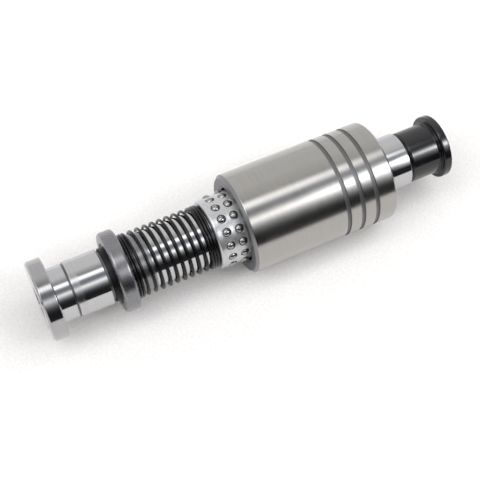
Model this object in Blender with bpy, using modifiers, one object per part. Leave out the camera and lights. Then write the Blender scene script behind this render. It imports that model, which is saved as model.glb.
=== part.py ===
"""Ball bearing guide post set for a press tool, lying along +X with its foot at -X.

A hardened post carries a bolted foot flange, a split retaining ring, a spring seat, a
compression spring, a ball cage and a guide bush, and ends in a black cage stopper.
Units are metres, +Z is up, and the origin is the middle of the assembly's length, on its axis.
Stations are distances along the axis from the foot's outer face.
"""

import math

import bmesh
import bpy
from mathutils import Matrix, Vector

COLLECTION = "ball_guide_post_set"

# Driving dimensions: the fit
POST_D = 0.0250
BALL_D = 0.0040
ROLLING_GAP = 0.0001
FIT_GAP = 0.0003
BORE_D = POST_D + 2.0 * BALL_D + 4.0 * ROLLING_GAP

# Driving dimensions: foot end
FOOT_D = 0.0355
FOOT_THICKNESS = 0.0068
FOOT_CHAMFER = 0.0008
FOOT_INNER_CHAMFER = 0.0005
FOOT_RECESS_DEPTH = 0.0004
NECK_D = 0.0243
NECK_END = 0.0136
NECK_GROOVE_END = 0.0143
NECK_GROOVE_D = 0.0234
SHANK_END = 0.0292
BROKEN_EDGE = 0.0003

# Driving dimensions: retaining ring and spring seat
RING_START = 0.0302
RING_GROOVE_END = 0.0335
RING_GROOVE_D = 0.0215
RING_D = 0.0242
RING_SHOULDER_D = 0.0264
RING_SHOULDER_THICKNESS = 0.0008
RING_SPLIT = 0.0020
SEAT_D = 0.0360
SEAT_START = 0.0323
SEAT_END = 0.0390
SEAT_EDGE = 0.0014
SEAT_RECESS_D = 0.0270
SEAT_HUB_D = 0.0260
SEAT_HUB_END = 0.0487

# Driving dimensions: spring
SPRING_D = 0.0290
WIRE_D = 0.00125
SPRING_CLOSED_PITCH = 0.00128
SPRING_FIRST_CLOSED_TURNS = 2.05
SPRING_LAST_CLOSED_TURNS = 2.45
SPRING_ACTIVE_TURNS = 9.05
SPRING_PHASE_DEG = 111.6
SPRING_POINTS_PER_TURN = 18

# Driving dimensions: ball cage
CAGE_START = 0.0773
CAGE_D = 0.0315
CAGE_BORE_D = 0.0266
CAGE_CHAMFER = 0.0007
CAGE_END_MARGIN = 0.00485
ROW_PITCH = 0.0057
ROWS = 10
SOLID_ROWS = 3
BALLS_PER_ROW = 16
BALL_PHASE_DEG = 195.0
ROW_TWIST_DEG = 1.1
POCKET_D = 0.0046

# Driving dimensions: guide bush
BUSH_D = 0.0456
BUSH_START = 0.0900
BUSH_END = 0.1586
BUSH_FOOT_CHAMFER = 0.0013
BUSH_HEAD_CHAMFER = 0.0008
BUSH_BORE_CHAMFER = 0.0010
BUSH_GROOVES = (0.1349, 0.1419, 0.1489)
BUSH_GROOVE_WIDTH = 0.0019
BUSH_GROOVE_DEPTH = 0.0005

# Driving dimensions: head end
POST_END = 0.1731
POST_CHAMFER = 0.0010
STOPPER_D = 0.0235
STOPPER_CHAMFER = 0.0009
STOPPER_FLANGE_D = 0.0290
STOPPER_FLANGE_THICKNESS = 0.0037
STOPPER_EDGE = 0.0007
STOPPER_FILLET = 0.0010
TOTAL_LENGTH = 0.1918

# Driving dimensions: M8 low-head screws, with hexagon sockets
SCREW_D = 0.0080
SCREW_HEAD_D = 0.0130
SCREW_HEAD_HEIGHT = 0.0044
SCREW_HEAD_DEPTH = 0.0003
SCREW_CHAMFER = 0.0004
HEX_ACROSS_FLATS = 0.0050
HEX_DEPTH = 0.0028
COUNTERBORE_D = 0.0140
FOOT_SCREW_END = 0.0240
STOPPER_SCREW_END = 0.1560
TAPPED_HOLE_RUNOUT = 0.0020

SEGMENTS = 36
CAGE_SEGMENTS = 32
SCREW_SEGMENTS = 24
ARC_STEPS = 3
POCKET_SIDES = 10
MERGE = 0.00001

MIDDLE = TOTAL_LENGTH / 2.0


def clear_scene():
    for obj in list(bpy.data.objects):
        bpy.data.objects.remove(obj, do_unlink=True)


def new_collection(name):
    collection = bpy.data.collections.new(name)
    bpy.context.scene.collection.children.link(collection)
    return collection


def material(name, colour, metallic, roughness):
    mat = bpy.data.materials.new(name)
    mat.use_nodes = True
    shader = mat.node_tree.nodes["Principled BSDF"]
    shader.inputs["Base Color"].default_value = (*colour, 1.0)
    shader.inputs["Metallic"].default_value = metallic
    shader.inputs["Roughness"].default_value = roughness
    return mat


def body_axis(name, station):
    """An empty on the common axis, with its local Z along the assembly's +X."""
    empty = bpy.data.objects.new(name, None)
    empty.empty_display_size = 0.01
    empty.location = (station - MIDDLE, 0.0, 0.0)
    empty.rotation_euler = (0.0, math.pi / 2.0, 0.0)
    PARTS.objects.link(empty)
    empty["station"] = station
    return empty


def add_object(name, data, mat, axis, collection):
    obj = bpy.data.objects.new(name, data)
    if mat is not None:
        data.materials.append(mat)
    collection.objects.link(obj)
    obj.parent = axis
    return obj


def flats_outside(diameter, segments=SEGMENTS):
    """Radius of a bore's corners, so that its flats stay outside its true circle."""
    return diameter / 2.0 / math.cos(math.pi / segments)


def arc(centre_r, centre_s, radius, start_deg, end_deg, steps=ARC_STEPS):
    """Points (radius, station) along a circular edge of a turned profile."""
    points = []
    for i in range(steps + 1):
        angle = math.radians(start_deg + (end_deg - start_deg) * i / steps)
        points.append((centre_r + radius * math.cos(angle), centre_s + radius * math.sin(angle)))
    return points


def turned(name, profile, mat, axis, closed, segments=SEGMENTS):
    """A turned piece. The profile is (radius, station), and runs down its outer side towards the foot."""
    mesh = bpy.data.meshes.new(name)
    shape = bmesh.new()
    verts = [shape.verts.new((r, 0.0, s - axis["station"])) for r, s in profile]
    for first, second in zip(verts, verts[1:]):
        shape.edges.new((first, second))
    if closed:
        shape.edges.new((verts[-1], verts[0]))
    shape.to_mesh(mesh)
    shape.free()
    obj = add_object(name, mesh, mat, axis, PARTS)
    screw = obj.modifiers.new("turned", "SCREW")
    screw.axis = "Z"
    screw.angle = 2.0 * math.pi
    screw.steps = segments
    screw.render_steps = segments
    screw.use_merge_vertices = True
    screw.merge_threshold = MERGE
    screw.use_smooth_shade = False
    return obj


def cut(obj, cutter):
    """Cuts the cutter's volume out of a piece."""
    cutter.hide_render = True
    cutter.display_type = "WIRE"
    boolean = obj.modifiers.new("cut_" + cutter.name, "BOOLEAN")
    boolean.operation = "DIFFERENCE"
    boolean.solver = "EXACT"
    boolean.object = cutter


def hex_cutter(name, axis, centre_station, depth):
    """A hexagonal prism on the axis, for a screw's socket."""
    mesh = bpy.data.meshes.new(name)
    shape = bmesh.new()
    corner = HEX_ACROSS_FLATS / 2.0 / math.cos(math.pi / 6.0)
    place = Matrix.Translation((0.0, 0.0, centre_station - axis["station"]))
    bmesh.ops.create_cone(shape, cap_ends=True, segments=6, radius1=corner, radius2=corner,
                          depth=depth, matrix=place)
    shape.to_mesh(mesh)
    shape.free()
    return add_object(name, mesh, None, axis, CUTTERS)


def make_post(axis):
    hole = flats_outside(SCREW_D + 2.0 * FIT_GAP)
    foot_face = FOOT_THICKNESS - FOOT_RECESS_DEPTH + FIT_GAP
    head_hole_end = STOPPER_SCREW_END - TAPPED_HOLE_RUNOUT
    foot_hole_end = FOOT_SCREW_END + TAPPED_HOLE_RUNOUT
    post = POST_D / 2.0
    neck = NECK_D / 2.0
    profile = [
        (0.0, head_hole_end),
        (hole, head_hole_end),
        (hole, POST_END),
        (post - POST_CHAMFER, POST_END),
        (post, POST_END - POST_CHAMFER),
        (post, RING_GROOVE_END),
        (RING_GROOVE_D / 2.0, RING_GROOVE_END),
        (RING_GROOVE_D / 2.0, SHANK_END),
        (post - BROKEN_EDGE, SHANK_END),
        (post, SHANK_END - BROKEN_EDGE),
        (post, NECK_GROOVE_END + BROKEN_EDGE),
        (NECK_GROOVE_D / 2.0, NECK_GROOVE_END),
        (NECK_GROOVE_D / 2.0, NECK_END),
        (neck, NECK_END - BROKEN_EDGE),
        (neck, foot_face + BROKEN_EDGE),
        (neck - BROKEN_EDGE, foot_face),
        (hole, foot_face),
        (hole, foot_hole_end),
        (0.0, foot_hole_end),
    ]
    return turned("guide_post", profile, POLISHED, axis, closed=False)


def make_foot_flange(axis):
    through = flats_outside(SCREW_D + 2.0 * FIT_GAP)
    counterbore = flats_outside(COUNTERBORE_D)
    recess = flats_outside(NECK_D + 2.0 * FIT_GAP)
    seat = SCREW_HEAD_DEPTH + SCREW_HEAD_HEIGHT + FIT_GAP
    rim = FOOT_D / 2.0
    profile = [
        (rim - FOOT_INNER_CHAMFER, FOOT_THICKNESS),
        (rim, FOOT_THICKNESS - FOOT_INNER_CHAMFER),
        (rim, FOOT_CHAMFER),
        (rim - FOOT_CHAMFER, 0.0),
        (counterbore, 0.0),
        (counterbore, seat),
        (through, seat),
        (through, FOOT_THICKNESS - FOOT_RECESS_DEPTH),
        (recess, FOOT_THICKNESS - FOOT_RECESS_DEPTH),
        (recess, FOOT_THICKNESS),
    ]
    return turned("foot_flange", profile, POLISHED, axis, closed=True)


def make_retaining_ring(axis):
    inner = flats_outside(RING_GROOVE_D + 2.0 * FIT_GAP)
    ring_end = RING_GROOVE_END - FIT_GAP
    shoulder = ring_end - RING_SHOULDER_THICKNESS
    profile = [
        (RING_SHOULDER_D / 2.0, ring_end),
        (RING_SHOULDER_D / 2.0, shoulder),
        (RING_D / 2.0, shoulder),
        (RING_D / 2.0, RING_START + FIT_GAP),
        (RING_D / 2.0 - FIT_GAP, RING_START),
        (inner, RING_START),
        (inner, ring_end),
    ]
    ring = turned("retaining_ring", profile, BLACK_STEEL, axis, closed=True)
    reach = RING_SHOULDER_D / 2.0
    mesh = bpy.data.meshes.new("ring_split")
    shape = bmesh.new()
    size = Matrix.Diagonal((reach, RING_SPLIT, 2.0 * (ring_end - RING_START), 1.0))
    place = Matrix.Translation((reach, 0.0, (ring_end + RING_START) / 2.0 - axis["station"]))
    bmesh.ops.create_cube(shape, size=1.0, matrix=place @ size)
    shape.to_mesh(mesh)
    shape.free()
    cut(ring, add_object("ring_split", mesh, None, axis, CUTTERS))
    return ring


def make_spring_seat(axis):
    bore = flats_outside(POST_D + 2.0 * ROLLING_GAP)
    recess = flats_outside(SEAT_RECESS_D)
    recess_floor = RING_GROOVE_END
    rim = SEAT_D / 2.0
    hub = SEAT_HUB_D / 2.0
    profile = [
        (bore, SEAT_HUB_END),
        (hub - BROKEN_EDGE / 2.0, SEAT_HUB_END),
        (hub, SEAT_HUB_END - BROKEN_EDGE),
        (hub, SEAT_END),
    ]
    profile += arc(rim - SEAT_EDGE, SEAT_END - SEAT_EDGE, SEAT_EDGE, 90.0, 0.0)
    profile += arc(rim - SEAT_EDGE, SEAT_START + SEAT_EDGE, SEAT_EDGE, 0.0, -90.0)
    profile += [(recess, SEAT_START), (recess, recess_floor), (bore, recess_floor)]
    return turned("spring_seat", profile, DULL_STEEL, axis, closed=True)


def spring_station(turn, first, last):
    """Station of the wire's middle after a number of turns, closed at both ends and open between."""
    total = SPRING_FIRST_CLOSED_TURNS + SPRING_ACTIVE_TURNS + SPRING_LAST_CLOSED_TURNS
    opening = first + SPRING_FIRST_CLOSED_TURNS * SPRING_CLOSED_PITCH
    closing = last - SPRING_LAST_CLOSED_TURNS * SPRING_CLOSED_PITCH
    if turn < SPRING_FIRST_CLOSED_TURNS:
        return first + turn * SPRING_CLOSED_PITCH
    if turn > total - SPRING_LAST_CLOSED_TURNS:
        return last - (total - turn) * SPRING_CLOSED_PITCH
    return opening + (turn - SPRING_FIRST_CLOSED_TURNS) * (closing - opening) / SPRING_ACTIVE_TURNS


def make_spring(axis):
    first = SEAT_END + FIT_GAP + WIRE_D / 2.0
    last = CAGE_START - FIT_GAP - WIRE_D / 2.0
    total = SPRING_FIRST_CLOSED_TURNS + SPRING_ACTIVE_TURNS + SPRING_LAST_CLOSED_TURNS
    count = round(total * SPRING_POINTS_PER_TURN) + 1
    chord = math.cos(math.pi / SPRING_POINTS_PER_TURN)
    radius = (SPRING_D - WIRE_D) / (1.0 + chord)
    curve = bpy.data.curves.new("spring", "CURVE")
    curve.dimensions = "3D"
    curve.twist_mode = "Z_UP"
    curve.bevel_depth = WIRE_D / 2.0
    curve.bevel_resolution = 2
    curve.use_fill_caps = True
    spline = curve.splines.new("POLY")
    spline.points.add(count - 1)
    for i, point in enumerate(spline.points):
        turn = total * i / (count - 1)
        angle = math.radians(SPRING_PHASE_DEG) + 2.0 * math.pi * turn
        station = spring_station(turn, first, last)
        point.co = (radius * math.cos(angle), radius * math.sin(angle), station - axis["station"], 1.0)
    return add_object("spring", curve, SPRING_STEEL, axis, PARTS)


def ball_place(row, index, axis):
    """Turns and moves a shape from local +X at the origin to a ball's place in the cage."""
    angle = math.radians(BALL_PHASE_DEG + row * ROW_TWIST_DEG + index * 360.0 / BALLS_PER_ROW)
    station = CAGE_START + CAGE_END_MARGIN + row * ROW_PITCH
    return Matrix.Translation((0.0, 0.0, station - axis["station"])) @ Matrix.Rotation(angle, 4, "Z")


def make_cage(axis):
    bore = flats_outside(CAGE_BORE_D, CAGE_SEGMENTS)
    outside = CAGE_D / 2.0
    end = CAGE_START + 2.0 * CAGE_END_MARGIN + (ROWS - 1) * ROW_PITCH
    profile = [
        (bore, end),
        (outside - CAGE_CHAMFER, end),
        (outside, end - CAGE_CHAMFER),
        (outside, CAGE_START + CAGE_CHAMFER),
        (outside - CAGE_CHAMFER, CAGE_START),
        (bore, CAGE_START),
    ]
    cage = turned("ball_cage", profile, ALUMINIUM, axis, closed=True, segments=CAGE_SEGMENTS)
    mesh = bpy.data.meshes.new("ball_pockets")
    shape = bmesh.new()
    middle = (bore + outside) / 2.0
    along_x = Matrix.Translation((middle, 0.0, 0.0)) @ Matrix.Rotation(math.pi / 2.0, 4, "Y")
    for row in range(SOLID_ROWS):
        for index in range(BALLS_PER_ROW):
            bmesh.ops.create_cone(shape, cap_ends=True, segments=POCKET_SIDES, radius1=POCKET_D / 2.0,
                                  radius2=POCKET_D / 2.0, depth=2.0 * (outside - bore),
                                  matrix=ball_place(row, index, axis) @ along_x)
    shape.to_mesh(mesh)
    shape.free()
    cut(cage, add_object("ball_pockets", mesh, None, axis, CUTTERS))
    return cage


def make_balls(axis):
    mesh = bpy.data.meshes.new("ball")
    shape = bmesh.new()
    bmesh.ops.create_icosphere(shape, subdivisions=2, radius=BALL_D / 2.0)
    shape.to_mesh(mesh)
    shape.free()
    mesh.shade_smooth()
    mesh.materials.append(BALL_STEEL)
    track = Vector((POST_D / 2.0 + ROLLING_GAP + BALL_D / 2.0, 0.0, 0.0))
    for row in range(SOLID_ROWS):
        for index in range(BALLS_PER_ROW):
            name = "ball_{}_{:02d}".format(row + 1, index + 1)
            ball = add_object(name, mesh, None, axis, PARTS)
            ball.location = ball_place(row, index, axis) @ track


def make_bush(axis):
    outside = BUSH_D / 2.0
    bore = flats_outside(BORE_D)
    profile = [
        (bore + BUSH_BORE_CHAMFER, BUSH_END),
        (outside - BUSH_HEAD_CHAMFER, BUSH_END),
        (outside, BUSH_END - BUSH_HEAD_CHAMFER),
    ]
    for groove in reversed(BUSH_GROOVES):
        half = BUSH_GROOVE_WIDTH / 2.0
        profile += [
            (outside, groove + half),
            (outside - BUSH_GROOVE_DEPTH, groove + half),
            (outside - BUSH_GROOVE_DEPTH, groove - half),
            (outside, groove - half),
        ]
    profile += [
        (outside, BUSH_START + BUSH_FOOT_CHAMFER),
        (outside - BUSH_FOOT_CHAMFER, BUSH_START),
        (bore + BUSH_BORE_CHAMFER, BUSH_START),
        (bore, BUSH_START + BUSH_BORE_CHAMFER),
        (bore, BUSH_END - BUSH_BORE_CHAMFER),
    ]
    return turned("guide_bush", profile, GROUND_STEEL, axis, closed=True)


def make_stopper(axis):
    sleeve = STOPPER_D / 2.0
    flange = STOPPER_FLANGE_D / 2.0
    flange_start = TOTAL_LENGTH - STOPPER_FLANGE_THICKNESS
    start = POST_END + FIT_GAP
    through = flats_outside(SCREW_D + 2.0 * FIT_GAP)
    counterbore = flats_outside(COUNTERBORE_D)
    seat = TOTAL_LENGTH - SCREW_HEAD_DEPTH - SCREW_HEAD_HEIGHT - FIT_GAP
    profile = [(through, start), (through, seat), (counterbore, seat), (counterbore, TOTAL_LENGTH)]
    rim = flange - STOPPER_EDGE
    root = sleeve + STOPPER_FILLET
    profile += arc(rim, TOTAL_LENGTH - STOPPER_EDGE, STOPPER_EDGE, 90.0, 0.0, steps=2)
    profile += arc(rim, flange_start + STOPPER_EDGE, STOPPER_EDGE, 0.0, -90.0, steps=2)
    profile += arc(root, flange_start - STOPPER_FILLET, STOPPER_FILLET, 90.0, 180.0, steps=2)
    profile += [(sleeve, start + STOPPER_CHAMFER), (sleeve - STOPPER_CHAMFER, start)]
    return turned("cage_stopper", profile, BLACK_PLASTIC, axis, closed=True)


def make_screw(name, axis, head_face, tip):
    """A low-head screw on the axis, from the station of its head's outer face to that of its tip."""
    inward = 1.0 if tip > head_face else -1.0
    head = SCREW_HEAD_D / 2.0
    shank = SCREW_D / 2.0
    under_head = head_face + inward * SCREW_HEAD_HEIGHT
    profile = [
        (0.0, head_face),
        (head - SCREW_CHAMFER, head_face),
        (head, head_face + inward * SCREW_CHAMFER),
        (head, under_head),
        (shank, under_head),
        (shank, tip - inward * 2.0 * SCREW_CHAMFER),
        (shank - 2.0 * SCREW_CHAMFER, tip),
        (0.0, tip),
    ]
    if inward > 0.0:
        profile.reverse()
    screw = turned(name, profile, BLACK_STEEL, axis, closed=False, segments=SCREW_SEGMENTS)
    cut(screw, hex_cutter(name + "_socket", axis, head_face, 2.0 * HEX_DEPTH))
    return screw


clear_scene()
PARTS = new_collection(COLLECTION)
CUTTERS = new_collection("cutters")

POLISHED = material("polished_steel", (0.52, 0.52, 0.52), 1.0, 0.08)
GROUND_STEEL = material("ground_steel", (0.40, 0.39, 0.36), 1.0, 0.17)
DULL_STEEL = material("dull_steel", (0.26, 0.26, 0.27), 1.0, 0.33)
SPRING_STEEL = material("spring_steel", (0.04, 0.04, 0.04), 1.0, 0.25)
BLACK_STEEL = material("black_steel", (0.045, 0.045, 0.045), 1.0, 0.40)
ALUMINIUM = material("aluminium", (0.53, 0.53, 0.53), 1.0, 0.40)
BALL_STEEL = material("ball_steel", (0.40, 0.40, 0.40), 1.0, 0.09)
BLACK_PLASTIC = material("black_plastic", (0.012, 0.012, 0.012), 0.0, 0.18)

post_axis = body_axis("post_axis", 0.0)
seat_axis = body_axis("spring_seat_axis", SEAT_START)
spring_axis = body_axis("spring_axis", SEAT_END)
cage_axis = body_axis("ball_cage_axis", CAGE_START)
bush_axis = body_axis("guide_bush_axis", BUSH_START)

make_post(post_axis)
make_foot_flange(post_axis)
make_screw("foot_screw", post_axis, SCREW_HEAD_DEPTH, FOOT_SCREW_END)
make_retaining_ring(post_axis)
make_stopper(post_axis)
make_screw("stopper_screw", post_axis, TOTAL_LENGTH - SCREW_HEAD_DEPTH, STOPPER_SCREW_END)
make_spring_seat(seat_axis)
make_spring(spring_axis)
make_cage(cage_axis)
make_balls(cage_axis)
make_bush(bush_axis)
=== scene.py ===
import math

import bmesh
import bpy
from mathutils import Matrix, Vector


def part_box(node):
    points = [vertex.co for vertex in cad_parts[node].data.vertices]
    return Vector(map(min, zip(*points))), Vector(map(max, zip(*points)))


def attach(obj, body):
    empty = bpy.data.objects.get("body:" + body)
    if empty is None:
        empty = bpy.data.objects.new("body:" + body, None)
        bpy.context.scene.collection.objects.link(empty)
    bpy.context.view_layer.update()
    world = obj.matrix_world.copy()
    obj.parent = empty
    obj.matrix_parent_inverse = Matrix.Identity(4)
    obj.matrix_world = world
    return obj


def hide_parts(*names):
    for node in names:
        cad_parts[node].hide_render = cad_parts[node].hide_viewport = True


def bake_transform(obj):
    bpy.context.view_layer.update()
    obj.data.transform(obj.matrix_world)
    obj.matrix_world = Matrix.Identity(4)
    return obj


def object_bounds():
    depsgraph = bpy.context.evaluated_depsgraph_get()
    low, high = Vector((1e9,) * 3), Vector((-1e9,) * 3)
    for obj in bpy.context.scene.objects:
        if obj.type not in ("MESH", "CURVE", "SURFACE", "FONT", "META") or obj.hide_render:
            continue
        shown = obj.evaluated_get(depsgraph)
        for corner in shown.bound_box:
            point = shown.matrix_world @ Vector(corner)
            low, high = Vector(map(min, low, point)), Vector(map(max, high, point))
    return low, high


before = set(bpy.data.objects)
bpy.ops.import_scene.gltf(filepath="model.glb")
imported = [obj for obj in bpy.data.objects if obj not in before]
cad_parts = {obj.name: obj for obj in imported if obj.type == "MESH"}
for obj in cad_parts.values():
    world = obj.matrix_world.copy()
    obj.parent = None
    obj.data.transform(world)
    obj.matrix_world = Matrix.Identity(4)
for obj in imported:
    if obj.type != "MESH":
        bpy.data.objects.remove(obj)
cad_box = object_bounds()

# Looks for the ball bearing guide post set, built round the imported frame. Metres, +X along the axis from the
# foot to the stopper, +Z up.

MM = 0.001
SEGMENTS = 192
SMOOTH_ANGLE = math.radians(38.0)
SHARP_ANGLE = math.radians(35.0)
ON_AXIS = 1e-7
FILLET_MIN_STEPS = 3
FILLET_STEP_ANGLE = math.radians(15.0)


# Node helpers ---------------------------------------------------------------

class Tree:
    """Shorthand for building one node tree."""

    def __init__(self, tree):
        self.tree = tree

    def node(self, kind, **settings):
        node = self.tree.nodes.new(kind)
        for key, value in settings.items():
            setattr(node, key, value)
        return node

    def put(self, socket, value):
        if isinstance(value, bpy.types.NodeSocket):
            self.tree.links.new(value, socket)
        else:
            socket.default_value = value

    def math(self, operation, a, b=0.0, c=0.0):
        node = self.node("ShaderNodeMath", operation=operation)
        for socket, value in zip(node.inputs, (a, b, c)):
            self.put(socket, value)
        return node.outputs[0]

    def ramp(self, factor, stops):
        """A straight-line ramp. Each stop is a position and a grey level or a colour."""
        node = self.node("ShaderNodeValToRGB")
        elements = node.color_ramp.elements
        while len(elements) < len(stops):
            elements.new(0.5)
        for element, (position, colour) in zip(elements, sorted(stops)):
            element.position = position
            element.color = (*colour, 1.0) if isinstance(colour, tuple) else (colour, colour, colour, 1.0)
        self.put(node.inputs[0], factor)
        return node.outputs[0]

    def scaled_coordinates(self, scale):
        mapping = self.node("ShaderNodeMapping")
        mapping.inputs["Scale"].default_value = scale
        self.put(mapping.inputs["Vector"], self.node("ShaderNodeTexCoord").outputs["Object"])
        return mapping.outputs[0]

    def noise(self, scale, detail=3.0, roughness=0.5):
        """Noise in object coordinates, with a scale for each axis, per metre."""
        node = self.node("ShaderNodeTexNoise")
        self.put(node.inputs["Vector"], self.scaled_coordinates(scale))
        node.inputs["Scale"].default_value = 1.0
        node.inputs["Detail"].default_value = detail
        node.inputs["Roughness"].default_value = roughness
        return node.outputs[0]

    def spread(self, value, low, high, from_low=0.3, from_high=0.7):
        """Map the middle of a noise's range on to low to high."""
        node = self.node("ShaderNodeMapRange")
        ends = {"From Min": from_low, "From Max": from_high, "To Min": low, "To Max": high}
        for key, number in ends.items():
            node.inputs[key].default_value = number
        self.put(node.inputs["Value"], value)
        return node.outputs[0]

    def tint(self, factor, low, high):
        """A blend of two colours. Inputs 6 and 7 and output 2 are the mix node's colour sockets."""
        node = self.node("ShaderNodeMix", data_type="RGBA")
        self.put(node.inputs[0], factor)
        node.inputs[6].default_value = (*low, 1.0)
        node.inputs[7].default_value = (*high, 1.0)
        return node.outputs[2]

    def bump(self, height, strength, distance):
        node = self.node("ShaderNodeBump")
        node.inputs["Strength"].default_value = strength
        node.inputs["Distance"].default_value = distance
        self.put(node.inputs["Height"], height)
        return node.outputs[0]


def new_material(name, metallic):
    mat = bpy.data.materials.new(name)
    mat.use_nodes = True
    tree = Tree(mat.node_tree)
    shader = mat.node_tree.nodes["Principled BSDF"]
    shader.inputs["Metallic"].default_value = metallic
    return mat, tree, shader


def shade(base, factor):
    return tuple(channel * factor for channel in base)


def turned_metal(name, base, vary, rough, grain, grain_strength, blotch_scale=90.0, grain_scale=3500.0):
    """Metal with fine marks that run round the axis, and soft smudges. grain_scale is the marks' number per
    metre along the axis and grain the same across it, so a small grain makes long marks."""
    mat, tree, shader = new_material(name, 1.0)
    lines = tree.noise((grain_scale, grain, grain), detail=2.0, roughness=0.6)
    broad = tree.noise((grain_scale / 6.0, grain / 3.0, grain / 3.0), detail=2.0)
    smudge = tree.noise((blotch_scale, blotch_scale, blotch_scale), detail=4.0, roughness=0.6)
    mixed = tree.math("MULTIPLY_ADD", lines, 0.82, tree.math("MULTIPLY", broad, 0.18))
    colour = tree.tint(tree.spread(mixed, 0.0, 1.0), shade(base, 1.0 - vary), shade(base, 1.0 + vary))
    tree.put(shader.inputs["Base Color"], colour)
    blend = tree.math("MULTIPLY_ADD", smudge, 0.7, tree.math("MULTIPLY", mixed, 0.3))
    tree.put(shader.inputs["Roughness"], tree.spread(blend, rough[0], rough[1], 0.36, 0.64))
    tree.put(shader.inputs["Normal"], tree.bump(mixed, grain_strength, 0.00002))
    return mat


def mottled_metal(name, base, vary, rough, scale, strength, metallic=1.0):
    """Metal with a mottled, slightly pitted skin."""
    mat, tree, shader = new_material(name, metallic)
    fine_scale = scale * 9.0
    coarse = tree.noise((scale, scale, scale), detail=5.0, roughness=0.65)
    fine = tree.noise((fine_scale, fine_scale, fine_scale), detail=3.0, roughness=0.6)
    mixed = tree.math("MULTIPLY_ADD", coarse, 0.6, tree.math("MULTIPLY", fine, 0.4))
    tree.put(shader.inputs["Base Color"],
             tree.tint(tree.spread(mixed, 0.0, 1.0), shade(base, 1.0 - vary), shade(base, 1.0 + vary)))
    tree.put(shader.inputs["Roughness"], tree.spread(mixed, rough[0], rough[1]))
    tree.put(shader.inputs["Normal"], tree.bump(fine, strength, 0.00006))
    return mat


def moulded_plastic(name, base, rough):
    """Glossy plastic with smudges and faint turning lines."""
    mat, tree, shader = new_material(name, 0.0)
    smudge = tree.noise((160.0, 160.0, 160.0), detail=4.0, roughness=0.6)
    lines = tree.noise((2600.0, 45.0, 45.0), detail=2.0)
    tree.put(shader.inputs["Base Color"],
             tree.tint(tree.spread(smudge, 0.0, 1.0), shade(base, 0.75), shade(base, 1.35)))
    tree.put(shader.inputs["Roughness"], tree.spread(smudge, rough[0], rough[1]))
    shader.inputs["Specular IOR Level"].default_value = 0.55
    tree.put(shader.inputs["Normal"], tree.bump(lines, 0.12, 0.00002))
    return mat


# Geometry helpers -----------------------------------------------------------

def polar(x, radius, angle):
    """A point about the X axis."""
    return x, radius * math.cos(angle), radius * math.sin(angle)


def rounded(corners, closed):
    """Profile points (x, r, mark) from corners (x, r, fillet radius, mark), where the mark is the material of
    the next stretch and may be left out."""
    points = []
    count = len(corners)
    for i, corner in enumerate(corners):
        x, r, fillet = corner[:3]
        mark = corner[3] if len(corner) > 3 else 0
        here = Vector((x, r))
        if fillet <= 0.0 or (not closed and i in (0, count - 1)):
            points.append((x, r, mark))
            continue
        back = (Vector(corners[i - 1][:2]) - here).normalized()
        ahead = (Vector(corners[(i + 1) % count][:2]) - here).normalized()
        half = back.angle(ahead) / 2.0
        centre = here + (back + ahead).normalized() * (fillet / math.sin(half))
        first = here + back * (fillet / math.tan(half)) - centre
        last = here + ahead * (fillet / math.tan(half)) - centre
        sweep = math.atan2(first.x * last.y - first.y * last.x, first.dot(last))
        steps = max(FILLET_MIN_STEPS, math.ceil(abs(sweep) / FILLET_STEP_ANGLE))
        for k in range(steps + 1):
            turn = sweep * k / steps
            spot = centre + Vector((first.x * math.cos(turn) - first.y * math.sin(turn),
                                    first.x * math.sin(turn) + first.y * math.cos(turn)))
            points.append((spot.x, spot.y, mark))
    return points


def profile_normals(points, closed):
    """Two normals for each stretch of a profile, one at each end, blended across soft corners by length."""
    count = len(points)
    stretches = count if closed else count - 1
    flat, length = [], []
    for j in range(stretches):
        d = Vector(points[(j + 1) % count][:2]) - Vector(points[j][:2])
        flat.append(Vector((-d.y, d.x)).normalized())
        length.append(d.length)

    def joined(a, b):
        if flat[a].angle(flat[b]) > SMOOTH_ANGLE:
            return None
        return (flat[a] * length[a] + flat[b] * length[b]).normalized()

    ends = []
    for j in range(stretches):
        before = joined(j - 1, j) if (closed or j > 0) else None
        after = joined(j, (j + 1) % stretches) if (closed or j < stretches - 1) else None
        ends.append((before or flat[j], after or flat[j]))
    return ends


def mesh_object(name, verts, faces, mats, marks=None, normals=None):
    mesh = bpy.data.meshes.new(name)
    mesh.from_pydata([tuple(v) for v in verts], [], faces)
    for mat in mats:
        mesh.materials.append(mat)
    if marks is not None:
        mesh.polygons.foreach_set("material_index", marks)
    mesh.polygons.foreach_set("use_smooth", [True] * len(mesh.polygons))
    mesh.update()
    if normals is not None:
        mesh.normals_split_custom_set([tuple(n) for n in normals])
    obj = bpy.data.objects.new(name, mesh)
    bpy.context.scene.collection.objects.link(obj)
    return obj


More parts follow.
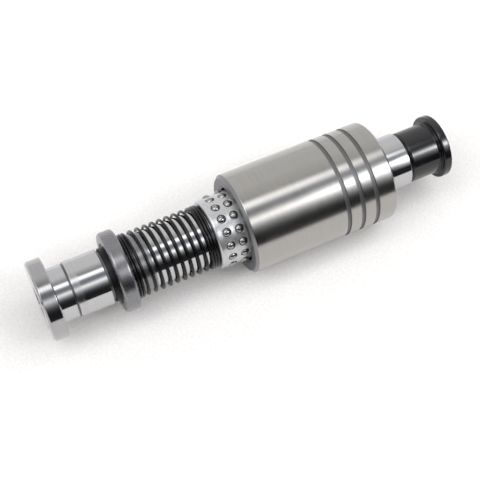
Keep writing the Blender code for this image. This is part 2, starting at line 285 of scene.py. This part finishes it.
def lathe(name, corners, mats, closed=True, segments=SEGMENTS, hex_points=(), span=None):
    """A turned piece about the X axis. The profile keeps the outside on its left. At each X in hex_points,
    points nearer the axis than its radius make a hexagon. span is the low and high angle of a split ring."""
    points = rounded(corners, closed)
    ends = profile_normals(points, closed)
    steps = segments if span is None else segments + 1
    low, high = (0.0, 2.0 * math.pi) if span is None else span
    angles = [low + (high - low) * k / segments for k in range(steps)]
    ring_start, verts = [], []
    for x, r, _ in points:
        ring_start.append(len(verts))
        if r < ON_AXIS:
            verts.append((x, 0.0, 0.0))
            continue
        key = round(x, 7)
        hexagonal = key in hex_points and r < hex_points[key]
        for angle in angles:
            reach = r
            if hexagonal:
                reach = r / math.cos((angle + math.pi / 6.0) % (math.pi / 3.0) - math.pi / 6.0)
            verts.append(polar(x, reach, angle))
    faces, marks, normals = [], [], []
    count = len(points)
    for j in range(count if closed else count - 1):
        nxt = (j + 1) % count
        first, second = ends[j]
        for k in range(segments):
            m = (k + 1) % steps
            a, b = ring_start[j], ring_start[nxt]
            if points[j][1] < ON_AXIS:
                face = (a, b + m, b + k)
                sides = (first, k + 0.5), (second, m), (second, k)
            elif points[nxt][1] < ON_AXIS:
                face = (a + k, a + m, b)
                sides = (first, k), (first, m), (second, k + 0.5)
            else:
                face = (a + k, a + m, b + m, b + k)
                sides = (first, k), (first, m), (second, m), (second, k)
            faces.append(face)
            marks.append(points[j][2])
            for normal, place in sides:
                angle = low + (high - low) * place / segments
                normals.append(polar(normal.x, normal.y, angle))
    if span is not None:
        for k, sign in ((0, 1), (steps - 1, -1)):
            ring = [ring_start[j] + k for j in range(count)]
            faces.append(ring if sign > 0 else ring[::-1])
            marks.append(0)
            side = (0.0, math.sin(angles[k]) * sign, -math.cos(angles[k]) * sign)
            normals += [side] * count
    return mesh_object(name, verts, faces, mats, marks, normals)


def finish_piece(obj, body, slot, *nodes):
    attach(obj, body)
    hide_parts(*nodes)
    return obj


# Materials ------------------------------------------------------------------

POLISHED = turned_metal(
    "polished_steel", (0.51, 0.51, 0.52), vary=0.03, rough=(0.05, 0.11), grain=40.0, grain_strength=0.05)
BLENDED = turned_metal(
    "blended_steel", (0.50, 0.50, 0.505), vary=0.07, rough=(0.16, 0.24), grain=60.0, grain_strength=0.10)
DISC_STEEL = turned_metal(
    "disc_steel", (0.40, 0.395, 0.405), vary=0.10, rough=(0.07, 0.15), grain=60.0, grain_strength=0.10,
    blotch_scale=140.0)
ROOT_STEEL = turned_metal(
    "relief_steel", (0.16, 0.16, 0.165), vary=0.15, rough=(0.25, 0.40), grain=60.0, grain_strength=0.2)
GROUND = turned_metal(
    "ground_steel", (0.40, 0.388, 0.370), vary=0.07, rough=(0.17, 0.22), grain=90.0, grain_strength=0.16,
    blotch_scale=60.0, grain_scale=6500.0)
GROUND_EDGE = turned_metal(
    "ground_edge", (0.36, 0.355, 0.35), vary=0.06, rough=(0.20, 0.30), grain=40.0, grain_strength=0.1)
# Painted shade: the bush's foot-end outer chamfer gets this dark colour to stand in for the dark reflection it
# shows there
PAINTED_SHADE_CHAMFER = turned_metal(
    "painted_shade_chamfer", (0.24, 0.238, 0.24), vary=0.06, rough=(0.30, 0.40), grain=40.0, grain_strength=0.1)
FACE_STEEL = mottled_metal(
    "face_steel", (0.20, 0.20, 0.215), vary=0.10, rough=(0.36, 0.46), scale=300.0, strength=0.06)
GROOVE = turned_metal(
    "groove_steel", (0.17, 0.17, 0.172), vary=0.10, rough=(0.38, 0.50), grain=60.0, grain_strength=0.2)
DULL = mottled_metal(
    "dull_steel", (0.245, 0.243, 0.255), vary=0.10, rough=(0.23, 0.32), scale=420.0, strength=0.10)
SPRING_STEEL = mottled_metal(
    "spring_steel", (0.035, 0.035, 0.036), vary=0.25, rough=(0.20, 0.32), scale=700.0, strength=0.08)
BLACK_STEEL = mottled_metal(
    "black_steel", (0.032, 0.032, 0.034), vary=0.25, rough=(0.33, 0.48), scale=500.0, strength=0.15)
ALUMINIUM = mottled_metal(
    "cage_aluminium", (0.56, 0.562, 0.568), vary=0.04, rough=(0.25, 0.32), scale=520.0, strength=0.06,
    metallic=0.82)
POCKET_DARK = mottled_metal(
    "pocket_shadow", (0.025, 0.025, 0.025), vary=0.2, rough=(0.45, 0.6), scale=900.0, strength=0.1)
BALL_STEEL = turned_metal(
    "ball_steel", (0.32, 0.32, 0.32), vary=0.05, rough=(0.06, 0.12), grain=300.0, grain_strength=0.03)
PLASTIC = moulded_plastic("black_plastic", (0.006, 0.006, 0.008), rough=(0.10, 0.16))


# Post, foot and screws ------------------------------------------------------

FOOT_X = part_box("foot_flange")[0].x
POST_LOW, POST_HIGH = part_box("guide_post")
RING_LOW, RING_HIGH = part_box("retaining_ring")
SEAT_LOW, SEAT_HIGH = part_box("spring_seat")
SPRING_LOW, SPRING_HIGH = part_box("spring")
CAGE_LOW, CAGE_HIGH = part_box("ball_cage")
BUSH_LOW, BUSH_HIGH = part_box("guide_bush")
STOPPER_LOW, STOPPER_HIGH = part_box("cage_stopper")

SCREW_HOLE_R = 4.3 * MM
COUNTERBORE_R = 7.03 * MM
COUNTERBORE_SPARE = 0.3 * MM
SCREW_HEAD_DEPTH = 0.3 * MM
SCREW_HEAD_HEIGHT = 4.4 * MM
HEX_R = 2.5 * MM
HEX_DEPTH = 2.8 * MM


def station(distance):
    """The X of a distance in millimetres from the foot's outer face."""
    return FOOT_X + distance * MM


def make_post():
    post = POST_HIGH.z
    neck, relief, ring_groove = 12.15 * MM, 11.7 * MM, 10.75 * MM
    crown = 1.0 * MM
    foot_hole_end, stopper_hole_end = station(26.0), station(154.0)
    relief_start, relief_end, blended_end = station(13.6), station(14.3), station(17.8)
    groove_start, groove_end = station(29.2), station(33.5)
    corners = [
        (foot_hole_end, 0.0, 0.0),
        (foot_hole_end, SCREW_HOLE_R, 0.0),
        (POST_LOW.x, SCREW_HOLE_R, 0.0),
        (POST_LOW.x, neck, 0.25 * MM),
        (relief_start, neck, 0.15 * MM, 1),
        (relief_start, relief, 0.12 * MM, 1),
        (relief_end, relief, 0.12 * MM, 1),
        (relief_end, post, 0.25 * MM, 2),
        (blended_end, post, 0.0),
        (groove_start, post, 0.35 * MM, 1),
        (groove_start, ring_groove, 0.2 * MM, 1),
        (groove_end, ring_groove, 0.2 * MM, 1),
        (groove_end, post, 0.2 * MM),
        (POST_HIGH.x - crown, post, 0.3 * MM),
        (POST_HIGH.x, post - crown, 0.15 * MM),
        (POST_HIGH.x, SCREW_HOLE_R, 0.0),
        (stopper_hole_end, SCREW_HOLE_R, 0.0),
        (stopper_hole_end, 0.0, 0.0),
    ]
    post_obj = lathe("post_shaft", corners, [POLISHED, ROOT_STEEL, BLENDED], closed=False)
    finish_piece(post_obj, "post", "polished_steel", "guide_post")


def make_foot():
    low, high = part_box("foot_flange")
    rim = high.z
    outer_chamfer, inner_chamfer = 0.8 * MM, 0.5 * MM
    seat = low.x + SCREW_HEAD_DEPTH + SCREW_HEAD_HEIGHT + COUNTERBORE_SPARE
    recess = high.x - 0.4 * MM
    neck = 12.48 * MM
    corners = [
        (low.x, rim - outer_chamfer, 0.2 * MM),
        (low.x + outer_chamfer, rim, 0.25 * MM),
        (high.x - inner_chamfer, rim, 0.25 * MM),
        (high.x, rim - inner_chamfer, 0.15 * MM),
        (high.x, neck, 0.0, 1),
        (recess, neck, 0.0, 1),
        (recess, SCREW_HOLE_R, 0.0, 1),
        (seat, SCREW_HOLE_R, 0.0, 1),
        (seat, COUNTERBORE_R, 0.2 * MM, 1),
        (low.x, COUNTERBORE_R, 0.3 * MM),
    ]
    disc = lathe("foot_disc", corners, [DISC_STEEL, ROOT_STEEL])
    finish_piece(disc, "post", "polished_steel", "foot_flange")


def make_screw(name, node, outward):
    """outward is the direction of the head's face along X."""
    low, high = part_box(node)
    face, tip = (low.x, high.x) if outward < 0 else (high.x, low.x)
    head, shank, into = 6.5 * MM, 4.0 * MM, -outward
    head_chamfer, tip_chamfer = 0.4 * MM, 0.8 * MM
    socket_floor = face + into * HEX_DEPTH
    drill_point = socket_floor + into * 0.8 * MM
    lip = face + into * 0.15 * MM
    under_head = face + into * SCREW_HEAD_HEIGHT
    corners = [
        (drill_point, 0.0, 0.0),
        (socket_floor, HEX_R * 0.96, 0.0),
        (lip, HEX_R, 0.0),
        (face, HEX_R * 1.2, 0.0),
        (face, head - head_chamfer, 0.1 * MM),
        (face + into * head_chamfer, head, 0.15 * MM),
        (under_head, head, 0.15 * MM),
        (under_head, shank, 0.2 * MM),
        (tip - into * tip_chamfer, shank, 0.2 * MM),
        (tip, shank - tip_chamfer, 0.1 * MM),
        (tip, 0.0, 0.0),
    ]
    hex_reach = HEX_R * 1.05
    hex_points = {round(socket_floor, 7): hex_reach, round(lip, 7): hex_reach}
    if outward > 0:
        corners.reverse()
    screw = lathe(name, corners, [BLACK_STEEL], closed=False, segments=96, hex_points=hex_points)
    finish_piece(screw, "post", "black_steel", node)


def make_ring():
    low, high = RING_LOW.x, RING_HIGH.x
    outer = RING_HIGH.y
    body, inner = 12.1 * MM, 11.1 * MM
    rim_start = high - 0.8 * MM
    corners = [
        (low, body, 0.3 * MM),
        (rim_start, body, 0.15 * MM),
        (rim_start, outer, 0.15 * MM),
        (high, outer, 0.15 * MM),
        (high, inner, 0.1 * MM),
        (low, inner, 0.1 * MM),
    ]
    # The ring is split at the bottom
    half_gap = math.asin(1.0 * MM / body)
    down = -math.pi / 2.0
    ring = lathe("retaining_clip", corners, [BLACK_STEEL],
                 span=(down + half_gap, down + 2.0 * math.pi - half_gap))
    finish_piece(ring, "post", "black_steel", "retaining_ring")


def make_seat():
    rim = SEAT_HIGH.z
    rim_round = 1.4 * MM
    hub, bore, recess = 13.0 * MM, 12.62 * MM, 13.55 * MM
    flange_end = SEAT_LOW.x + 6.7 * MM
    recess_floor = SEAT_LOW.x + 1.2 * MM
    corners = [
        (SEAT_LOW.x, rim, rim_round),
        (flange_end, rim, rim_round),
        (flange_end, hub, 0.15 * MM),
        (SEAT_HIGH.x, hub, 0.12 * MM),
        (SEAT_HIGH.x, bore, 0.05 * MM),
        (recess_floor, bore, 0.05 * MM),
        (recess_floor, recess, 0.1 * MM),
        (SEAT_LOW.x, recess, 0.3 * MM),
    ]
    seat = lathe("seat_collar", corners, [DULL])
    finish_piece(seat, "spring_seat", "dull_steel", "spring_seat")


GROOVE_STATIONS = (134.9, 141.9, 148.9)
GROOVE_DEPTH = 0.5 * MM
GROOVE_HALF_WIDTH = 0.95 * MM


def make_bush():
    outer = BUSH_HIGH.z
    bore = 16.75 * MM
    foot_chamfer, head_chamfer, bore_chamfer = 1.3 * MM, 0.8 * MM, 1.0 * MM
    corners = [
        # The foot-end outer chamfer takes the painted shade colour (mark 4)
        (BUSH_LOW.x, outer - foot_chamfer, 0.25 * MM, 4),
        (BUSH_LOW.x + foot_chamfer, outer, 0.4 * MM),
    ]
    for middle in map(station, GROOVE_STATIONS):
        start, end = middle - GROOVE_HALF_WIDTH, middle + GROOVE_HALF_WIDTH
        corners += [
            (start, outer, 0.08 * MM, 2),
            (start, outer - GROOVE_DEPTH, 0.12 * MM, 2),
            (end, outer - GROOVE_DEPTH, 0.12 * MM, 2),
            (end, outer, 0.08 * MM),
        ]
    corners += [
        (BUSH_HIGH.x - head_chamfer, outer, 0.3 * MM, 1),
        (BUSH_HIGH.x, outer - head_chamfer, 0.2 * MM, 3),
        (BUSH_HIGH.x, bore + bore_chamfer, 0.2 * MM, 1),
        (BUSH_HIGH.x - bore_chamfer, bore, 0.4 * MM, 0),
        (BUSH_LOW.x + bore_chamfer, bore, 0.4 * MM, 1),
        (BUSH_LOW.x, bore + bore_chamfer, 0.2 * MM, 3),
    ]
    bush = lathe("bush_shell", corners, [GROUND, GROUND_EDGE, GROOVE, FACE_STEEL, PAINTED_SHADE_CHAMFER])
    finish_piece(bush, "bush", "ground_steel", "guide_bush")


def make_stopper():
    low, high = STOPPER_LOW.x, STOPPER_HIGH.x
    flange = STOPPER_HIGH.z
    sleeve = 11.75 * MM
    collar = sleeve + 0.6 * MM
    chamfer = 0.9 * MM
    flange_round = 0.7 * MM
    flange_start = high - 3.7 * MM
    step = flange_start - 1.0 * MM
    seat = high - SCREW_HEAD_DEPTH - SCREW_HEAD_HEIGHT - COUNTERBORE_SPARE
    corners = [
        (low, SCREW_HOLE_R, 0.0),
        (low, sleeve - chamfer, 0.2 * MM),
        (low + chamfer, sleeve, 0.4 * MM),
        (step, sleeve, 0.3 * MM),
        (step + 0.25 * MM, collar, 0.15 * MM),
        (flange_start, collar, 0.25 * MM),
        (flange_start, flange, flange_round),
        (high, flange, flange_round),
        (high, COUNTERBORE_R, 0.3 * MM),
        (seat, COUNTERBORE_R, 0.2 * MM),
        (seat, SCREW_HOLE_R, 0.0),
    ]
    stopper = lathe("stopper_sleeve", corners, [PLASTIC])
    finish_piece(stopper, "post", "black_plastic", "cage_stopper")


# Spring ---------------------------------------------------------------------

WIRE_R = 0.625 * MM
SPRING_R = 14.5 * MM - WIRE_R
CLOSED_PITCH = 1.28 * MM
FIRST_CLOSED_TURNS = 2.05
ACTIVE_TURNS = 9.05
LAST_CLOSED_TURNS = 2.45
SPRING_PHASE = math.radians(111.6)
TOTAL_TURNS = FIRST_CLOSED_TURNS + ACTIVE_TURNS + LAST_CLOSED_TURNS
WIRE_SIDES = 16
WIRE_STEPS_PER_TURN = 56
PITCH_WINDOW = 0.12
# Rings of the wire's cut ends: how far in from the end and how wide, both in wire radii
WIRE_END = [(0.0, 0.55), (0.2, 0.86)]


def spring_x(turn):
    first, last = SPRING_LOW.x + WIRE_R, SPRING_HIGH.x - WIRE_R
    pitch = (last - first - (FIRST_CLOSED_TURNS + LAST_CLOSED_TURNS) * CLOSED_PITCH) / ACTIVE_TURNS
    if turn < FIRST_CLOSED_TURNS:
        return first + turn * CLOSED_PITCH
    if turn > TOTAL_TURNS - LAST_CLOSED_TURNS:
        return last - (TOTAL_TURNS - turn) * CLOSED_PITCH
    return first + FIRST_CLOSED_TURNS * CLOSED_PITCH + (turn - FIRST_CLOSED_TURNS) * pitch


def wire_centres(count):
    """Places along the wire, with the changes of pitch smoothed, and their angles round the axis."""
    centres = []
    for i in range(count + 1):
        turn = TOTAL_TURNS * i / count
        angle = SPRING_PHASE + 2.0 * math.pi * turn
        x = spring_x(turn)
        if min(turn, TOTAL_TURNS - turn) >= PITCH_WINDOW:
            window = (-PITCH_WINDOW, 0.0, PITCH_WINDOW)
            x = sum(spring_x(min(max(turn + o, 0.0), TOTAL_TURNS)) for o in window) / 3.0
        centres.append((Vector((x, SPRING_R * math.sin(angle), -SPRING_R * math.cos(angle))), angle))
    return centres


def make_spring():
    count = round(TOTAL_TURNS * WIRE_STEPS_PER_TURN)
    centres = wire_centres(count)
    rings = []
    for i, (centre, angle) in enumerate(centres):
        ahead = centres[min(i + 1, count)][0] - centres[max(i - 1, 0)][0]
        along = ahead.normalized()
        out = Vector((0.0, math.sin(angle), -math.cos(angle)))
        side = along.cross(out).normalized()
        if i == 0:
            rings += [(centre + along * WIRE_R * inset, out, side, size) for inset, size in WIRE_END]
        rings.append((centre, out, side, 1.0))
        if i == count:
            rings += [(centre - along * WIRE_R * inset, out, side, size)
                      for inset, size in reversed(WIRE_END)]
    verts, faces = [], []
    for centre, out, side, size in rings:
        for k in range(WIRE_SIDES):
            a = 2.0 * math.pi * k / WIRE_SIDES
            verts.append(centre + (out * math.cos(a) + side * math.sin(a)) * WIRE_R * size)
    for i in range(len(rings) - 1):
        for k in range(WIRE_SIDES):
            m = (k + 1) % WIRE_SIDES
            a, b = i * WIRE_SIDES, (i + 1) * WIRE_SIDES
            faces.append((a + k, b + k, b + m, a + m))
    faces.append(tuple(range(WIRE_SIDES)))
    faces.append(tuple(reversed(range(len(verts) - WIRE_SIDES, len(verts)))))
    coil = mesh_object("coil_spring", verts, faces, [SPRING_STEEL])
    fix_normals(coil)
    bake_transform(coil)
    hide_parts("spring")


def fix_normals(obj):
    shape = bmesh.new()
    shape.from_mesh(obj.data)
    bmesh.ops.recalc_face_normals(shape, faces=shape.faces)
    shape.to_mesh(obj.data)
    shape.free()


# Ball cage ------------------------------------------------------------------

ROWS = 10
SOLID_ROWS = 3
BALLS_PER_ROW = 16
ROW_PITCH = 5.7 * MM
ROW_MARGIN = 4.85 * MM
ROW_TWIST = math.radians(1.1)
BALL_PHASE = math.radians(105.0)
BALL_R = 2.0 * MM
BALL_TRACK_R = 14.6 * MM
CAGE_R = CAGE_HIGH.z
CAGE_BORE_R = 13.33 * MM
LIP_R = 1.74 * MM
POCKET_R = 2.15 * MM
HALF_PITCH = ROW_PITCH / 2.0
HALF_CELL_ANGLE = math.pi / BALLS_PER_ROW
CELL_SIDE_STEPS = 10
# Rings of the flat part of a cell, as shares of the way from the lip to the cell's edge
FLAT_SHARES = (1.0, 0.5)
FLAT_START_R = LIP_R + 0.60 * MM
# The staked lip, from the pocket outwards: how far past LIP_R and how far above the cage's surface, in mm
LIP_RINGS = [
    (0.0, -0.16), (0.06, -0.10), (0.14, -0.12), (0.24, -0.05), (0.32, 0.02), (0.42, 0.03), (0.54, 0.0),
]
DARK_LIP_RINGS = 4
# The pocket's wall, from the lip inwards: its radius, and its distance from the cage's axis
WALL_RINGS = [(LIP_R + 0.05 * MM, CAGE_R - 0.35 * MM), (POCKET_R, CAGE_R - 0.8 * MM),
              (POCKET_R, CAGE_BORE_R + 0.3 * MM), (POCKET_R, CAGE_BORE_R)]
END_CHAMFER = 0.7 * MM
# Neighbouring cells are made apart, and points this close are joined
WELD_DISTANCE = 0.002 * MM


def cell_edge():
    """Places round a pocket's cell, as shares of its half sizes, counter-clockwise."""
    n = CELL_SIDE_STEPS
    edge = [(-1.0 + 2.0 * k / n, -1.0) for k in range(n)]
    edge += [(1.0, -1.0 + 2.0 * k / n) for k in range(n)]
    edge += [(1.0 - 2.0 * k / n, 1.0) for k in range(n)]
    edge += [(-1.0, 1.0 - 2.0 * k / n) for k in range(n)]
    return edge


def cell_rings(centre_x, centre_a, edge):
    """Rings of points for one pocket's cell: from its edge to the lip, down the pocket's wall and out along
    the bore."""
    spokes = []
    for u, v in edge:
        du, dv = u * HALF_PITCH, v * HALF_CELL_ANGLE * CAGE_R
        spokes.append((du, dv, math.hypot(du, dv)))
    rings = []
    for share in FLAT_SHARES:
        ring = []
        for du, dv, far in spokes:
            reach = FLAT_START_R + (far - FLAT_START_R) * share
            along, around = du * reach / far, dv * reach / far
            shear = ROW_TWIST * along / ROW_PITCH
            ring.append(polar(centre_x + along, CAGE_R, centre_a + around / CAGE_R + shear))
        rings.append(ring)
    for past_lip, lift in reversed(LIP_RINGS):
        radius, height = LIP_R + past_lip * MM, CAGE_R + lift * MM
        rings.append([polar(centre_x + du * radius / far, height, centre_a + dv * radius / far / CAGE_R)
                      for du, dv, far in spokes])
    for radius, height in WALL_RINGS:
        rings.append([polar(centre_x + du * radius / far, height, centre_a + dv * radius / far / height)
                      for du, dv, far in spokes])
    rings.append([polar(centre_x + u * HALF_PITCH, CAGE_BORE_R,
                        centre_a + v * HALF_CELL_ANGLE + ROW_TWIST * u * HALF_PITCH / ROW_PITCH)
                  for u, v in edge])
    return rings


def band_rings(row, sign, end_x):
    """Rings for the plain band past an end row, over the cage's end and into its bore. sign is the end's
    direction along X."""
    start_x = CAGE_LOW.x + ROW_MARGIN + row * ROW_PITCH + sign * HALF_PITCH
    start_a = BALL_PHASE + row * ROW_TWIST + sign * ROW_TWIST / 2.0 - HALF_CELL_ANGLE
    profile = [
        (start_x, CAGE_R),
        (start_x + sign * 0.9 * MM, CAGE_R),
        (end_x - sign * (END_CHAMFER + 0.15 * MM), CAGE_R),
        (end_x - sign * (END_CHAMFER - 0.1 * MM), CAGE_R - 0.07 * MM),
        (end_x - sign * 0.1 * MM, CAGE_R - END_CHAMFER + 0.1 * MM),
        (end_x, CAGE_R - END_CHAMFER - 0.12 * MM),
        (end_x, CAGE_BORE_R + 0.2 * MM),
        (end_x - sign * 0.2 * MM, CAGE_BORE_R),
        (start_x, CAGE_BORE_R),
    ]
    around = BALLS_PER_ROW * CELL_SIDE_STEPS
    return [[polar(x, r, start_a + 2.0 * math.pi * k / around) for k in range(around)] for x, r in profile]


def make_cage():
    verts, faces, marks = [], [], []

    def join(rings, dark=()):
        base, n = len(verts), len(rings[0])
        for ring in rings:
            verts.extend(ring)
        for j in range(len(rings) - 1):
            a, b = base + j * n, base + (j + 1) * n
            for k in range(n):
                m = (k + 1) % n
                faces.append((a + k, a + m, b + m, b + k))
                marks.append(1 if j in dark else 0)

    edge = cell_edge()
    first_dark = len(FLAT_SHARES) + len(LIP_RINGS) - DARK_LIP_RINGS
    for row in range(ROWS):
        centre_x = CAGE_LOW.x + ROW_MARGIN + row * ROW_PITCH
        for index in range(BALLS_PER_ROW):
            rings = cell_rings(centre_x, BALL_PHASE + row * ROW_TWIST + index * 2.0 * HALF_CELL_ANGLE, edge)
            join(rings, range(first_dark, len(rings) - 2))
    join(band_rings(0, -1.0, CAGE_LOW.x))
    join(band_rings(ROWS - 1, 1.0, CAGE_HIGH.x))

    cage = mesh_object("cage_sleeve", verts, faces, [ALUMINIUM, POCKET_DARK], marks)
    shape = bmesh.new()
    shape.from_mesh(cage.data)
    bmesh.ops.remove_doubles(shape, verts=shape.verts, dist=WELD_DISTANCE)
    bmesh.ops.recalc_face_normals(shape, faces=shape.faces)
    shape.to_mesh(cage.data)
    shape.free()
    cage.data.set_sharp_from_angle(angle=SHARP_ANGLE)
    finish_piece(cage, "cage", "aluminium", "ball_cage")


def make_balls():
    for row in range(ROWS):
        shape = bmesh.new()
        x = CAGE_LOW.x + ROW_MARGIN + row * ROW_PITCH
        for index in range(BALLS_PER_ROW):
            a = BALL_PHASE + row * ROW_TWIST + index * 2.0 * math.pi / BALLS_PER_ROW
            spot = Matrix.Translation(polar(x, BALL_TRACK_R, a))
            bmesh.ops.create_icosphere(shape, subdivisions=4, radius=BALL_R, matrix=spot)
        mesh = bpy.data.meshes.new("ball_row_{:02d}".format(row + 1))
        shape.to_mesh(mesh)
        shape.free()
        mesh.shade_smooth()
        mesh.materials.append(BALL_STEEL)
        balls = bpy.data.objects.new(mesh.name, mesh)
        bpy.context.scene.collection.objects.link(balls)
        nodes = ["ball_{}_{:02d}".format(row + 1, index + 1) for index in range(BALLS_PER_ROW)]
        finish_piece(balls, "cage", "ball_steel", *(nodes if row < SOLID_ROWS else []))


make_post()
make_foot()
make_screw("foot_screw_hex", "foot_screw", -1)
make_screw("stopper_screw_hex", "stopper_screw", 1)
make_ring()
make_seat()
make_bush()
make_stopper()
make_spring()
make_cage()
make_balls()


# Floor ----------------------------------------------------------------------

FLOOR_SIZE = 4.0
FLOOR_FRONT = -0.28
FLOOR_GAP = 0.02 * MM
PAPER_GRAIN = 850.0


def make_floor():
    mesh = bpy.data.meshes.new("floor")
    corners = [(-FLOOR_SIZE, FLOOR_FRONT, 0.0), (FLOOR_SIZE, FLOOR_FRONT, 0.0),
               (FLOOR_SIZE, FLOOR_SIZE, 0.0), (-FLOOR_SIZE, FLOOR_SIZE, 0.0)]
    mesh.from_pydata(corners, [], [(0, 1, 2, 3)])
    floor = bpy.data.objects.new("floor", mesh)
    bpy.context.scene.collection.objects.link(floor)
    floor.location.z = cad_box[0][2] - FLOOR_GAP
    mat, tree, shader = new_material("paper", 0.0)
    paper = tree.noise((PAPER_GRAIN, PAPER_GRAIN, PAPER_GRAIN), detail=3.0, roughness=0.55)
    tree.put(shader.inputs["Base Color"],
             tree.tint(tree.spread(paper, 0.0, 1.0), (0.788, 0.76, 0.734), (0.876, 0.844, 0.816)))
    shader.inputs["Roughness"].default_value = 0.9
    shader.inputs["Specular IOR Level"].default_value = 0.1
    tree.put(shader.inputs["Normal"], tree.bump(paper, 0.8, 0.0004))
    mesh.materials.append(mat)


# Studio light, by direction. The first number of each stop is an angle in the plane across the axis: 0
# towards -Y, 90 overhead, 180 towards +Y. In a slant it is the direction's share along +X instead. The second
# number is brightness.
WALLS = [
    (0, 0.03), (8, 0.022), (17, 0.028), (22, 0.045), (27, 0.09), (32, 0.18), (38, 0.45), (43, 0.8),
    (49, 1.3), (54, 1.28), (58, 0.7), (62, 0.44), (66, 0.32), (72, 0.34), (80, 0.36), (98, 0.42),
    (106, 0.52), (111, 0.64), (118, 0.82), (127, 0.93), (155, 0.92), (180, 0.95),
]
WALL_TOP = 2.0
LAMP = [
    (18, 0.0), (24, 0.03), (30, 0.07), (36, 0.13), (42, 0.26), (46, 0.55), (49, 1.0), (54, 1.0), (58, 0.7),
    (61, 0.38), (66, 0.1), (72, 0.03), (82, 0.0),
]
LAMP_SLANT = [
    (0.02, 0.0), (0.08, 0.007), (0.16, 0.02), (0.25, 0.057), (0.345, 0.03), (0.38, 0.07), (0.40, 0.35),
    (0.415, 1.0), (0.44, 1.0), (0.47, 0.15), (0.80, 0.15), (0.90, 0.0),
]
LAMP_POWER = 24.0
STRIP = [(73.0, 0.0), (77.5, 0.16), (80.5, 0.5), (84.0, 1.0), (91.5, 1.0), (95.0, 0.35), (99.0, 0.0)]
STRIP_SLANT = [
    (-0.60, 0.6), (-0.05, 0.82), (0.16, 0.82), (0.24, 1.0), (0.345, 1.0), (0.39, 0.42), (0.43, 0.02),
]
STRIP_POWER = 2.2
FILL = [(94, 0.0), (101, 1.0), (109, 1.0), (119, 0.0)]
FILL_SLANT = [(0.12, 0.0), (0.24, 1.0), (0.42, 1.0), (0.52, 0.0)]
FILL_POWER = 0.24
PANEL = [(70.0, 0.0), (80.0, 1.0), (100.0, 1.0), (118.0, 0.0)]
PANEL_SLANT = [(-0.95, 0.0), (-0.85, 1.0), (-0.15, 1.0), (0.0, 0.0)]
PANEL_POWER = 1.9
POOLS = [
    (LAMP, LAMP_SLANT, LAMP_POWER), (STRIP, STRIP_SLANT, STRIP_POWER),
    (FILL, FILL_SLANT, FILL_POWER), (PANEL, PANEL_SLANT, PANEL_POWER),
]
TINT = [
    (0, (0.93, 0.96, 1.0)), (42, (0.94, 0.97, 1.0)), (49, (1.0, 1.0, 1.0)), (56, (1.0, 1.0, 1.0)),
    (63, (0.88, 0.92, 1.0)), (78, (0.90, 0.94, 1.0)), (86, (1.0, 1.0, 1.0)), (128, (1.0, 0.995, 0.985)),
    (165, (1.0, 1.005, 1.02)),
]
# What lights the floor, which is harder and comes more from overhead
SKY = [
    (0, 0.08), (30, 0.14), (42, 0.45), (49, 1.4), (58, 1.95), (66, 1.9), (78, 1.8), (84, 2.6), (95, 2.95),
    (100, 0.9), (110, 0.35), (180, 0.2),
]
SKY_TINT = (0.965, 1.0, 1.045)
SKY_TOP = 3.0
SKY_POWER = 1.045


def make_studio():
    world = bpy.data.worlds.new("studio")
    bpy.context.scene.world = world
    world.use_nodes = True
    tree = Tree(world.node_tree)
    background = world.node_tree.nodes["Background"]
    split = tree.node("ShaderNodeSeparateXYZ")
    tree.put(split.inputs[0], tree.node("ShaderNodeTexCoord").outputs["Generated"])
    x, y, z = split.outputs
    angle = tree.math("ARCTAN2", z, tree.math("MULTIPLY", y, -1.0))
    share = tree.math("DIVIDE", angle, math.pi)
    slant = tree.math("MULTIPLY_ADD", x, 0.5, 0.5)

    def across(stops, top=1.0):
        """Brightness by angle. A ramp only reaches 1, so brighter stops are given as shares of top."""
        return tree.ramp(share, [(a / 180.0, v / top) for a, v in stops])

    total = tree.math("MULTIPLY", across(WALLS, WALL_TOP), WALL_TOP)
    for stops, slants, power in POOLS:
        along = tree.ramp(slant, [(a * 0.5 + 0.5, v) for a, v in slants])
        pool = tree.math("MULTIPLY", tree.math("MULTIPLY", across(stops), along), power)
        total = tree.math("ADD", total, pool)
    tree.put(background.inputs["Color"], tree.ramp(share, [(a / 180.0, colour) for a, colour in TINT]))
    tree.put(background.inputs["Strength"], total)

    sky = tree.node("ShaderNodeBackground")
    sky.inputs["Color"].default_value = (*SKY_TINT, 1.0)
    tree.put(sky.inputs["Strength"], tree.math("MULTIPLY", across(SKY, SKY_TOP), SKY_TOP * SKY_POWER))
    pale = tree.node("ShaderNodeBackground")
    pale.inputs["Color"].default_value = (1.0, 1.0, 1.0, 1.0)

    # Diffuse surfaces are lit by the sky, reflections show the studio, and the camera sees a pale backdrop
    path = tree.node("ShaderNodeLightPath")
    lit = tree.node("ShaderNodeMixShader")
    tree.put(lit.inputs[0], path.outputs["Is Diffuse Ray"])
    tree.put(lit.inputs[1], background.outputs[0])
    tree.put(lit.inputs[2], sky.outputs[0])
    mix = tree.node("ShaderNodeMixShader")
    tree.put(mix.inputs[0], path.outputs["Is Camera Ray"])
    tree.put(mix.inputs[1], lit.outputs[0])
    tree.put(mix.inputs[2], pale.outputs[0])
    tree.put(world.node_tree.nodes["World Output"].inputs["Surface"], mix.outputs[0])


CAMERA_AT = Vector((-111.62, -228.40, 386.18)) * MM
CAMERA_AIM = Vector((-6.08, -6.16, -3.54)) * MM
CAMERA_LENS = 79.23
CAMERA_SENSOR = 36.0


def make_camera():
    data = bpy.data.cameras.new("camera")
    data.lens = CAMERA_LENS
    data.sensor_width = CAMERA_SENSOR
    data.clip_start = 0.01
    camera = bpy.data.objects.new("camera", data)
    bpy.context.scene.collection.objects.link(camera)
    camera.location = CAMERA_AT
    camera.rotation_euler = (CAMERA_AIM - CAMERA_AT).to_track_quat("-Z", "Y").to_euler()
    bpy.context.scene.camera = camera


make_floor()
make_studio()
make_camera()
bpy.context.scene.view_settings.view_transform = "Standard"
